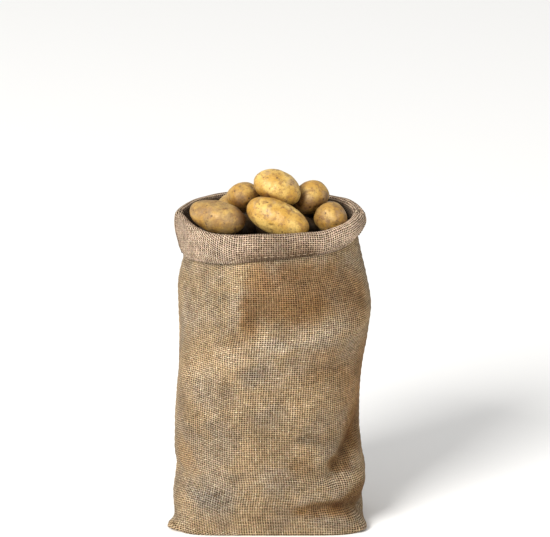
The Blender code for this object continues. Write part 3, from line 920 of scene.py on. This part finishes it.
skinLook = {
    "roughness": 0.44,
    "specular": 0.45,
    "roughVaries": 0.25,
    "golden": (0.5, 0.272, 0.042),
    "straw": (0.69, 0.462, 0.128),
    "tan": (0.27, 0.135, 0.038),
    "russet": (0.43, 0.285, 0.15),
    "earth": (0.15, 0.098, 0.058),
    "speck": (0.085, 0.042, 0.017),
    # painted shade for the heap's depths and its core
    "gap": (0.03, 0.017, 0.008),
    # painted shade where neighbours close in
    "occlusionShadeTint": (0.34, 0.23, 0.15),
    "markStray": 0.0034,  # marks on the skin are drawn out and uneven
    "strayNoise": (260.0, 3.0, 0.6),
    "pale": (34.0, 3.0, 0.5),  # noise: scale, detail and roughness
    "mottle": (120.0, 4.0, 0.62),
    "fine": (700.0, 3.0, 0.6),
    "patch": (46.0, 3.0, 0.6),
    "soil": (70.0, 5.0, 0.72),
    "scuffs": (185.0, 5.0, 0.75),
    "netScale": 420.0,
    "bigSpecks": (150.0, 0.24, 0.36),  # scale, share of the cells that have one, size
    "smallSpecks": (330.0, 0.36, 0.34),
    "bump": 0.5,
    "bumpDepth": 0.0009,
}


def potatoSkin(look):
    m = Material("potatoSkin", look["roughness"], look["specular"])
    straight = m.add("TexCoord")["Object"]
    eye, paintedDepthShade, dirt, occlusionShade = m.attributes("eye", "paintedDepthShade", "dirt", "occlusionShade")
    stray = m.noise(straight, *look["strayNoise"], output=1)
    body = m.strayed(straight, stray, (look["markStray"],) * 3)
    pale, mottle, fine, patch, soil, scuffs = [
        m.noise(body, *look[name]) for name in ("pale", "mottle", "fine", "patch", "soil", "scuffs")
    ]
    # rough russet skin in patches, netted
    net = m.ramp(m.cells(body, look["netScale"], "DISTANCE_TO_EDGE")["Distance"], 0.0, 0.14, 1.0, 0.3)

    def specks(scale, share, size):
        dots = m.cells(body, scale)
        cell = m.add("SeparateColor", (dots["Color"],))[0]
        shown = m.ramp(cell, 1.0 - share, 1.0 - share + 0.12)
        return m.times(m.ramp(dots["Distance"], size, size * 0.35), shown)

    big = specks(*look["bigSpecks"])
    # dry earth left on the skin, thicker on some
    soil = m.ramp(m.timesPlus(dirt, 0.1, soil), 0.54, 0.72)
    colour = m.layers(
        look["golden"],
        (m.ramp(pale, 0.35, 0.65), look["straw"]),
        (m.ramp(mottle, 0.47, 0.66, 0.0, 0.8), look["tan"]),
        (m.times(m.ramp(patch, 0.52, 0.66), net), look["russet"]),
        (m.times(dirt, 0.34), look["tan"]),
        (m.times(soil, 0.5), look["earth"]),
        (m.times(big, 0.85), look["speck"]),
        (m.times(specks(*look["smallSpecks"]), 0.7), look["speck"]),
        (m.ramp(scuffs, 0.6, 0.7, 0.0, 0.6), look["speck"]),
        # painted shade where neighbours close in
        (m.ramp(occlusionShade, 0.1, 0.75, 0.0, 0.95), look["occlusionShadeTint"], "MULTIPLY"),
        (m.ramp(eye, 0.15, 0.8, 0.0, 0.95), look["speck"]),
        (1.0, m.grey(m.ramp(fine, 0.2, 0.8, 0.84, 1.12)), "MULTIPLY"),
        # painted shade deep in the heap
        (paintedDepthShade, look["gap"]),
    )
    varies = look["roughVaries"]
    rough = m.timesPlus(soil, varies, m.timesPlus(mottle, varies, look["roughness"] - 0.1))
    m.fill(m.shader, {"Roughness": rough})
    bumps = m.timesPlus(fine, 0.5, m.timesPlus(big, -0.6, mottle))
    return m.finish(colour, bumps, look["bump"], look["bumpDepth"])


def potatoPoints(shape, row, seed, fineness):
    # a potato about its own middle: an egg-like ball with a few broad lumps
    ball = bmesh.new()
    bmesh.ops.create_icosphere(ball, subdivisions=fineness, radius=1.0)
    draw = random.Random(seed)
    waves = [
        (Vector([draw.uniform(-1, 1) for _ in range(3)]).normalized(), draw.uniform(0, 2 * math.pi))
        for _ in range(shape["waves"])
    ]
    turn = Euler([math.radians(a) for a in (row.roll, row.noseDown, row.heading)], "XYZ").to_matrix()
    p = np.array([v.co for v in ball.verts])
    faces = [[v.index for v in f.verts] for f in ball.faces]
    ball.free()
    wave = sum(np.sin(shape["waveRate"] * p @ np.array(axis) + phase) for axis, phase in waves)
    swell = 1 + shape["waveShare"] * wave
    girth = swell * (1 + row.taper * p[:, 0])
    shaped = np.column_stack([
        p[:, 0] * row.length / 2 * swell,
        p[:, 1] * row.width / 2 * girth,
        p[:, 2] * row.thick / 2 * girth,
    ])
    shaped[:, 1] += row.taper * row.width * shape["bend"] * (p[:, 0] ** 2 - shape["bendAbout"])
    return shaped @ np.array(turn).T, p, faces


def potatoDetail(shape, points, ball, seed):
    # eyes: small hollows under a brow, on a spiral round the potato, and an uneven skin
    draw = random.Random(100 + seed)
    eye = np.zeros(len(points))
    normal = ball / np.linalg.norm(ball, axis=1)[:, None]
    moved = points.copy()
    for k in range(shape["eyes"]):
        turn = k * shape["goldenTurn"] + draw.uniform(*shape["eyeTurn"])
        level = -shape["eyeSpan"] + 2 * shape["eyeSpan"] * (k + 0.5) / shape["eyes"]
        level += draw.uniform(*shape["eyeStray"])
        level = max(-shape["eyeLast"], min(shape["eyeLast"], level))
        side = math.sqrt(1 - level**2)
        toward = np.array([level, side * math.cos(turn), side * math.sin(turn)])
        middle = points[np.argmax(normal @ toward)]
        radius = draw.uniform(*shape["eyeRadius"])
        depth = draw.uniform(*shape["eyeDepth"])
        above = middle + (0.0, 0.0, shape["browAway"] * radius)
        away = np.linalg.norm(points - middle, axis=1) / radius
        brow = np.linalg.norm(points - above, axis=1) / (radius * shape["browRadius"])
        moved -= normal * (depth * bell(away))[:, None]
        moved += normal * (shape["browHeight"] * depth * bell(brow))[:, None]
        eye = np.maximum(eye, bell(away / shape["eyeDark"]) * draw.uniform(0.5, 1.0))
    places = points * shape["bumpScale"] + (seed, 0, 0)
    bumps = np.array([noise.fractal(Vector(p), 1.0, 2.0, 3) for p in places])
    moved += normal * (bumps * shape["bumps"])[:, None]
    return moved, eye


def occlusionShare(shape, coarse, others, cloth):
    # the share of what each rough point faces that is taken up by neighbours standing close, painted on the
    # skin as shade
    points, ball, _ = coarse
    draw = random.Random(shape["raySeed"])
    rays = []
    while len(rays) < shape["rays"]:
        ray = Vector([draw.uniform(-1, 1) for _ in range(3)])
        if 0.1 < ray.length <= 1.0:
            rays.append(ray.normalized())
    occlusionShade = np.zeros(len(points))
    for k, p in enumerate(points):
        facing = Vector(ball[k])
        start = Vector(p) + facing * shape["rayStart"]
        total = met = 0.0
        for ray in rays:
            lean = ray.dot(facing)
            if lean > shape["rayLean"]:
                total += lean
                if any(one.ray_cast(start, ray, shape["rayReach"])[0] is not None for one in others):
                    met += lean
                elif cloth.ray_cast(start, ray, shape["rayReach"])[0] is not None:
                    met += lean * shape["clothShade"]
        occlusionShade[k] = met / total
    return occlusionShade


def spread(fine, coarse, values, sharpness=90.0, batch=4096):
    # values at the rough points, smoothed over the fine ones, a batch at a time
    found = np.empty(len(fine))
    for first in range(0, len(fine), batch):
        share = np.exp(sharpness * (fine[first:first + batch] @ coarse.T - 1.0))
        found[first:first + batch] = share @ values / share.sum(axis=1)
    return found


def skinMesh(name, points, faces, values):
    everywhere = np.ones(len(points))
    keys = ("eye", "paintedDepthShade", "occlusionShade", "dirt")
    return meshFrom(name, points, faces, {key: value * everywhere for key, value in zip(keys, values)})


def makePotatoes(shape, material, cloth):
    made = []

    def atItsPlace(points, row):
        # the shift that puts these points' middle where the potato's is
        return np.mean(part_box(row.name), axis=0) - (points.min(axis=0) + points.max(axis=0)) / 2

    rough = []
    for index, row in enumerate(shape["rows"]):
        points, ball, faces = potatoPoints(shape, row, index + 1, shape["roughFineness"])
        rough.append((points + atItsPlace(points, row), ball, faces))
    trees = [BVHTree.FromPolygons(points.tolist(), faces) for points, _, faces in rough]
    for index, row in enumerate(shape["rows"]):
        points, ball, faces = potatoPoints(shape, row, index + 1, shape["fineness"])
        shift = atItsPlace(points, row)
        points, eye = potatoDetail(shape, points, ball, index + 1)
        others = [tree for k, tree in enumerate(trees) if k != index]
        occlusionShade = spread(ball, rough[index][1], occlusionShare(shape, rough[index], others, cloth))
        values = (eye, 0.0, occlusionShade, shape["dirt"][index])
        potato = addObject(skinMesh("potato%02d" % (index + 1), points + shift, faces, values), material)
        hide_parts(row.name)
        made.append(potato)
    return made


heapShape = {
    "spacing": 0.045,  # across, and rowStep of it from row to row
    "rowStep": 0.866,
    "jitter": (-0.004, 0.004),
    "lift": 0.004,
    "reach": (0.094, 0.078),
    "clear": 0.004,  # kept between these and the cloth
    "seed": 5,
    "length": (0.05, 0.062),
    "width": (0.041, 0.047),
    "thick": (0.038, 0.043),
    "taper": (-0.08, 0.08),
    "heading": (0, 180),
    "noseDown": (-12, 12),
    "roll": (-20, 20),
    "firstSeed": 40,
    "gap": 0.0006,  # kept below the potatoes on top
    "paintedDepthShade": 0.94,  # painted shade deep in the heap: how dark it is deep down, and from where
    "paintedDepthShadeFrom": (0.442, 0.484),
    # painted shade on all of the heap, as if closed in
    "occlusionShade": 0.45,
    "dirt": 0.8,
    "startTop": 0.38,
    "shoulder": 0.439,
    "crown": 0.456,
    "middle": (0.008, 0.005),
    "crownReach": (0.118, 0.075),
    "crownEdge": (0.45, 0.8),
    "dips": (  # across, back, depth, radius
        (0.1, 0.03, 0.017, 0.034),
        (-0.06, 0.052, 0.01, 0.034),
        (-0.075, -0.04, -0.005, 0.03),
        (0.086, -0.036, -0.005, 0.024),
        (-0.037, 0.01, -0.0095, 0.024),
        (-0.038, -0.058, 0.016, 0.026),
        (0.064, -0.026, 0.01, 0.022),
    ),
    "sliver": (0.06, -0.064, 0.457),  # one potato shows here at the front
    "sliverClear": 0.03,
    "coreTop": 0.405,
    "coreFoot": 0.0024,
    "coreUpTo": 13.4,  # row of the wall's table
    "coreInset": 0.0145,
    "coreAround": 96,
    "coreLevels": 40,
}


def heapHeight(shape, x, y):
    away = math.hypot((x - shape["middle"][0]) / shape["crownReach"][0],
                      (y - shape["middle"][1]) / shape["crownReach"][1])
    crown = 1 - float(between(*shape["crownEdge"], away))
    low = sum(
        depth * math.exp(-((x - across) ** 2 + (y - back) ** 2) / radius**2)
        for across, back, depth, radius in shape["dips"]
    )
    return shape["shoulder"] + (shape["crown"] - shape["shoulder"]) * crown - low


def keepInside(shape, neck, points):
    # how far these points must move towards the middle to stay clear of the wall
    angle = np.arctan2(points[:, 1], points[:, 0])
    halfDepth = halfDepthFor(neck.left, neck.right, neck.girth, neck.boxiness)
    limit = np.linalg.norm(oval(neck.left, neck.right, halfDepth, neck.boxiness, angle), axis=1)
    over = np.linalg.norm(points[:, :2], axis=1) - (limit - shape["clear"])
    worst = int(np.argmax(over))
    if over[worst] <= 0:
        return np.zeros(3)
    return np.array([-math.cos(angle[worst]), -math.sin(angle[worst]), 0.0]) * over[worst]


def roomAbove(points, faces, uppers, most):
    # how far these points can rise before they meet the potatoes on top
    least = most
    mine = BVHTree.FromPolygons(points.tolist(), faces)
    low, high = points.min(axis=0), points.max(axis=0)
    for tree, corners in uppers:
        over = [p for p in corners if low[0] <= p[0] <= high[0] and low[1] <= p[1] <= high[1]]
        for search, starts, way in ((tree, points, 1), (mine, over, -1)):
            for p in starts:
                distance = search.ray_cast(Vector(p), Vector((0, 0, way)), most)[3]
                if distance is not None:
                    least = min(least, distance)
    return least


def heapSpots(shape):
    draw = random.Random(shape["seed"])
    step = shape["spacing"]
    spots = []
    for row in range(-3, 4):
        for column in range(-4, 5):
            x = (column + 0.5 * (row % 2)) * step + draw.uniform(*shape["jitter"])
            y = row * step * shape["rowStep"] + draw.uniform(*shape["jitter"])
            if (x / shape["reach"][0]) ** 2 + (y / shape["reach"][1]) ** 2 <= 1.0:
                spots.append((x, y))
    return spots


def lowerPotatoes(shape, potato, neck, potatoes):
    # each rises until it meets the heap's top or a potato that lies on it
    draw = random.Random(shape["seed"] + 1)
    uppers = []
    for one in potatoes:
        corners = np.array([v.co for v in one.data.vertices])
        polygons = [list(p.vertices) for p in one.data.polygons]
        uppers.append((BVHTree.FromPolygons(corners.tolist(), polygons), corners[::12]))  # fewer will do
    sliver = shape["sliver"]
    spots = [(*spot, None) for spot in heapSpots(shape) if math.dist(spot, sliver[:2]) > shape["sliverClear"]]
    parts = []
    for index, (x, y, top) in enumerate(spots + [sliver]):
        seed = shape["firstSeed"] + index
        drawn = ("heading", "noseDown", "roll", "length", "width", "thick", "taper")
        row = Potato("low", x, y, *(draw.uniform(*shape[side]) for side in drawn))
        shaped, ball, polygons = potatoPoints(potato, row, seed, potato["hiddenFineness"])
        shaped, eye = potatoDetail(potato, shaped, ball, seed)
        shaped += (x, y, shape["startTop"] - shaped[:, 2].max())
        for _ in range(3):
            shaped += keepInside(shape, neck, shaped)
        most = (top or heapHeight(shape, x, y) + shape["lift"]) - shape["startTop"]
        coarse, _, coarseFaces = potatoPoints(potato, row, seed, potato["roughFineness"])
        coarse += shaped.mean(axis=0) - coarse.mean(axis=0)
        shaped[:, 2] += max(0.0, roomAbove(coarse, coarseFaces, uppers, most) - shape["gap"])
        # painted shade, darker the lower the potato lies
        dark = shape["paintedDepthShade"] * (1 - between(*shape["paintedDepthShadeFrom"], shaped[:, 2]))
        parts.append((shaped, polygons, eye, dark))
    return parts


def heapCore(shape, sack):
    # the rest of the filling, plain, a little inside the wall, painted all over in the dark of the shade
    # between the potatoes
    count, levels = shape["coreAround"], shape["coreLevels"]
    stations = np.arange(count) / count
    rings = []
    for level in np.linspace(0, shape["coreUpTo"], levels):
        section = Section(*smoothRows(sack["wall"], level)[0])
        ring = ringAt(section, stations)
        sunk = np.maximum(0, -relief(sack, stations, ring[:, 2], section.girth))
        ring -= outward(ring) * (shape["coreInset"] + sunk)[:, None]
        ring[:, 2] = np.maximum(ring[:, 2] + shape["coreInset"] * min(level, 1.0), shape["coreFoot"])
        ring[:, 2] = np.minimum(ring[:, 2], shape["coreTop"])
        rings.append(ring)
    faces = gridFaces(levels, count)
    faces.append(list(reversed(range(count))))
    faces.append([(levels - 1) * count + i for i in range(count)])
    return np.concatenate(rings), faces, np.zeros(levels * count), np.ones(levels * count)


def makeHeap(shape, potato, sack, material, potatoes):
    # the lower potatoes that show between the others, over the core
    parts = lowerPotatoes(shape, potato, sack["wall"][-1], potatoes)
    parts.append(heapCore(shape, sack))
    starts = np.cumsum([0] + [len(part[0]) for part in parts]).tolist()
    faces = [[start + k for k in face] for start, part in zip(starts, parts) for face in part[1]]
    points, eye, paintedDepthShade = [np.concatenate([part[k] for part in parts]) for k in (0, 2, 3)]
    mesh = skinMesh("potatoHeap", points, faces, (eye, paintedDepthShade, shape["occlusionShade"], shape["dirt"]))
    made = addObject(mesh, material)
    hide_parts("filling")
    print("heap:", len(parts) - 1, "lower potatoes,", len(mesh.polygons), "faces")


stitchShape = {
    "radius": 0.00055,
    "length": 0.0062,
    "step": 0.0094,
    "aboveHem": 0.0085,
    "stand": 0.0006,  # how far its middle stands off the cloth
    "sides": 6,
    "steps": 5,
    "begins": 0.2,  # where in its step it begins
    "rise": 1.3,  # of its middle, as a share of its radius, and how deep its ends lie
    "endDeep": 0.4,
    "endWide": 0.55,
    "swell": 0.45,
    "roughness": 0.85,
    "specular": 0.2,
    "bump": 0.5,
    "bumpDepth": 0.0004,
    "threadColours": ((0.42, 0.31, 0.21), (0.27, 0.19, 0.12)),
    "twist": (900.0, 2.0, 0.6),
    "patches": (60.0, 2.0),
}


def thread(look):
    m = Material("juteThread", look["roughness"], look["specular"])
    body = m.add("TexCoord")["Object"]
    twist = m.noise(body, *look["twist"])
    colour = m.blend(m.ramp(m.noise(body, *look["patches"]), 0.35, 0.65), *look["threadColours"])
    colour = m.blend(1.0, colour, m.grey(m.ramp(twist, 0.3, 0.7, 0.65, 1.2)), "MULTIPLY")
    return m.finish(colour, twist, look["bump"], look["bumpDepth"])


def stitch(shape, start, end, normal):
    # a short thread that goes in at both ends
    along = end - start
    side = np.cross(along, normal)
    side /= np.linalg.norm(side)
    radius, sides, steps = shape["radius"], shape["sides"], shape["steps"]
    points = []
    for k in range(steps + 1):
        rise = math.sin(math.pi * k / steps)
        lift = rise * radius * shape["rise"] - radius * shape["endDeep"]
        middle = start + along * (k / steps) + normal * lift
        wide = radius * (shape["endWide"] + shape["swell"] * rise)
        for j in range(sides):
            turn = 2 * math.pi * j / sides
            points.append(middle + side * math.cos(turn) * wide + normal * math.sin(turn) * wide)
    faces = gridFaces(steps + 1, sides)
    faces.append(list(reversed(range(sides))))
    faces.append([steps * sides + j for j in range(sides)])
    return points, faces


def makeStitches(shape, sack, grid, normals, material):
    # a running stitch round the hem of the cuff
    drop = dropOf(grid)
    ring = int(np.argmin(np.abs(drop[-1] - drop - shape["aboveHem"])))
    line = grid[ring] - normals[ring] * (sack["cloth"] / 2 + shape["stand"])
    line = np.vstack([line, line[:1]])
    facing = np.vstack([-normals[ring], -normals[ring][:1]])
    length = runAlong(line)

    def at(distance, rows):
        return np.array([np.interp(distance, length, rows[:, k]) for k in range(3)])

    points, faces = [], []
    count = int(length[-1] / shape["step"])
    for k in range(count):
        begin = (k + shape["begins"]) * length[-1] / count
        end = begin + shape["length"]
        normal = at(begin + shape["length"] / 2, facing)
        placed, joined = stitch(shape, at(begin, line), at(end, line), normal / np.linalg.norm(normal))
        faces += [[len(points) + k for k in face] for face in joined]
        points += placed
    made = addObject(meshFrom("hemStitches", np.array(points), faces, {}), material)
    return made


weaveMaterial = hessian(hessianLook)
skinMaterial = potatoSkin(skinLook)
sackCloth, sackGrid, sackNormals = makeSack(sackShape, weaveMaterial)
print("sack:", len(sackCloth.data.polygons), "faces")
clothPoints = sackGrid[::3, ::4]
clothTree = BVHTree.FromPolygons(clothPoints.reshape(-1, 3).tolist(), gridFaces(*clothPoints.shape[:2]))
potatoes = makePotatoes(potatoShape, skinMaterial, clothTree)
makeHeap(heapShape, potatoShape, sackShape, skinMaterial, potatoes)
stitches = makeStitches(stitchShape, sackShape, sackGrid, sackNormals, thread(stitchShape))
print("pieces made")

cameraPlace = {
    "target": (0.0079, 0.0, 0.3773),
    "elevation": 16.9,
    "distance": 5.9,
    "pixelsPerMetre": 694.0,  # at the target
    "imageWidth": 550,
    "sensor": 36.0,
    "clipEnd": 50.0,
}

lightRig = {
    "place": (-4.4, -6.0, 5.3),
    "aim": (0.0, 0.0, 0.25),
    "size": 3.6,
    "power": 1000.0,
    "colour": (1.0, 0.985, 0.96),
    "sky": 0.66,
    "skyColour": (1.0, 0.995, 0.985, 1.0),
    "floorReach": 40.0,
    "floorColour": (0.94, 0.94, 0.935),
    "floorRoughness": 0.9,
    "floorSpecular": 0.1,
}


def aim(made, direction):
    made.rotation_mode = "QUATERNION"
    made.rotation_quaternion = direction.to_track_quat("-Z", "Y")


def addCamera(view):
    data = bpy.data.cameras.new("camera")
    data.sensor_width = view["sensor"]
    data.lens = view["sensor"] * view["pixelsPerMetre"] * view["distance"] / view["imageWidth"]
    data.clip_end = view["clipEnd"]
    made = putInScene("camera", data)
    tilt = math.radians(view["elevation"])
    back = Vector((0.0, -math.cos(tilt), math.sin(tilt)))
    made.location = Vector(view["target"]) + back * view["distance"]
    aim(made, -back)
    bpy.context.scene.camera = made


def addLights(rig):
    data = bpy.data.lights.new("key", "AREA")
    data.size = rig["size"]
    data.energy = rig["power"]
    data.color = rig["colour"]
    made = putInScene("key", data)
    made.location = rig["place"]
    aim(made, Vector(rig["aim"]) - made.location)
    world = bpy.data.worlds.new("studio")
    world.use_nodes = True
    background = world.node_tree.nodes["Background"]
    background.inputs["Color"].default_value = rig["skyColour"]
    background.inputs["Strength"].default_value = rig["sky"]
    bpy.context.scene.world = world


def addFloor(rig):
    mesh = bpy.data.meshes.new("floor")
    reach = rig["floorReach"]
    mesh.from_pydata([(x * reach, y * reach, 0.0) for x, y in ((-1, -1), (1, -1), (1, 1), (-1, 1))],
                     [], [(0, 1, 2, 3)])
    pale = Material("paleFloor", rig["floorRoughness"], rig["floorSpecular"])
    pale.fill(pale.shader, {"Base Color": rig["floorColour"]})
    mesh.materials.append(pale.made)
    floor = putInScene("floor", mesh)


addCamera(cameraPlace)
addLights(lightRig)
addFloor(lightRig)
bpy.context.scene.view_settings.view_transform = "Standard"
print("camera, lights and floor made")
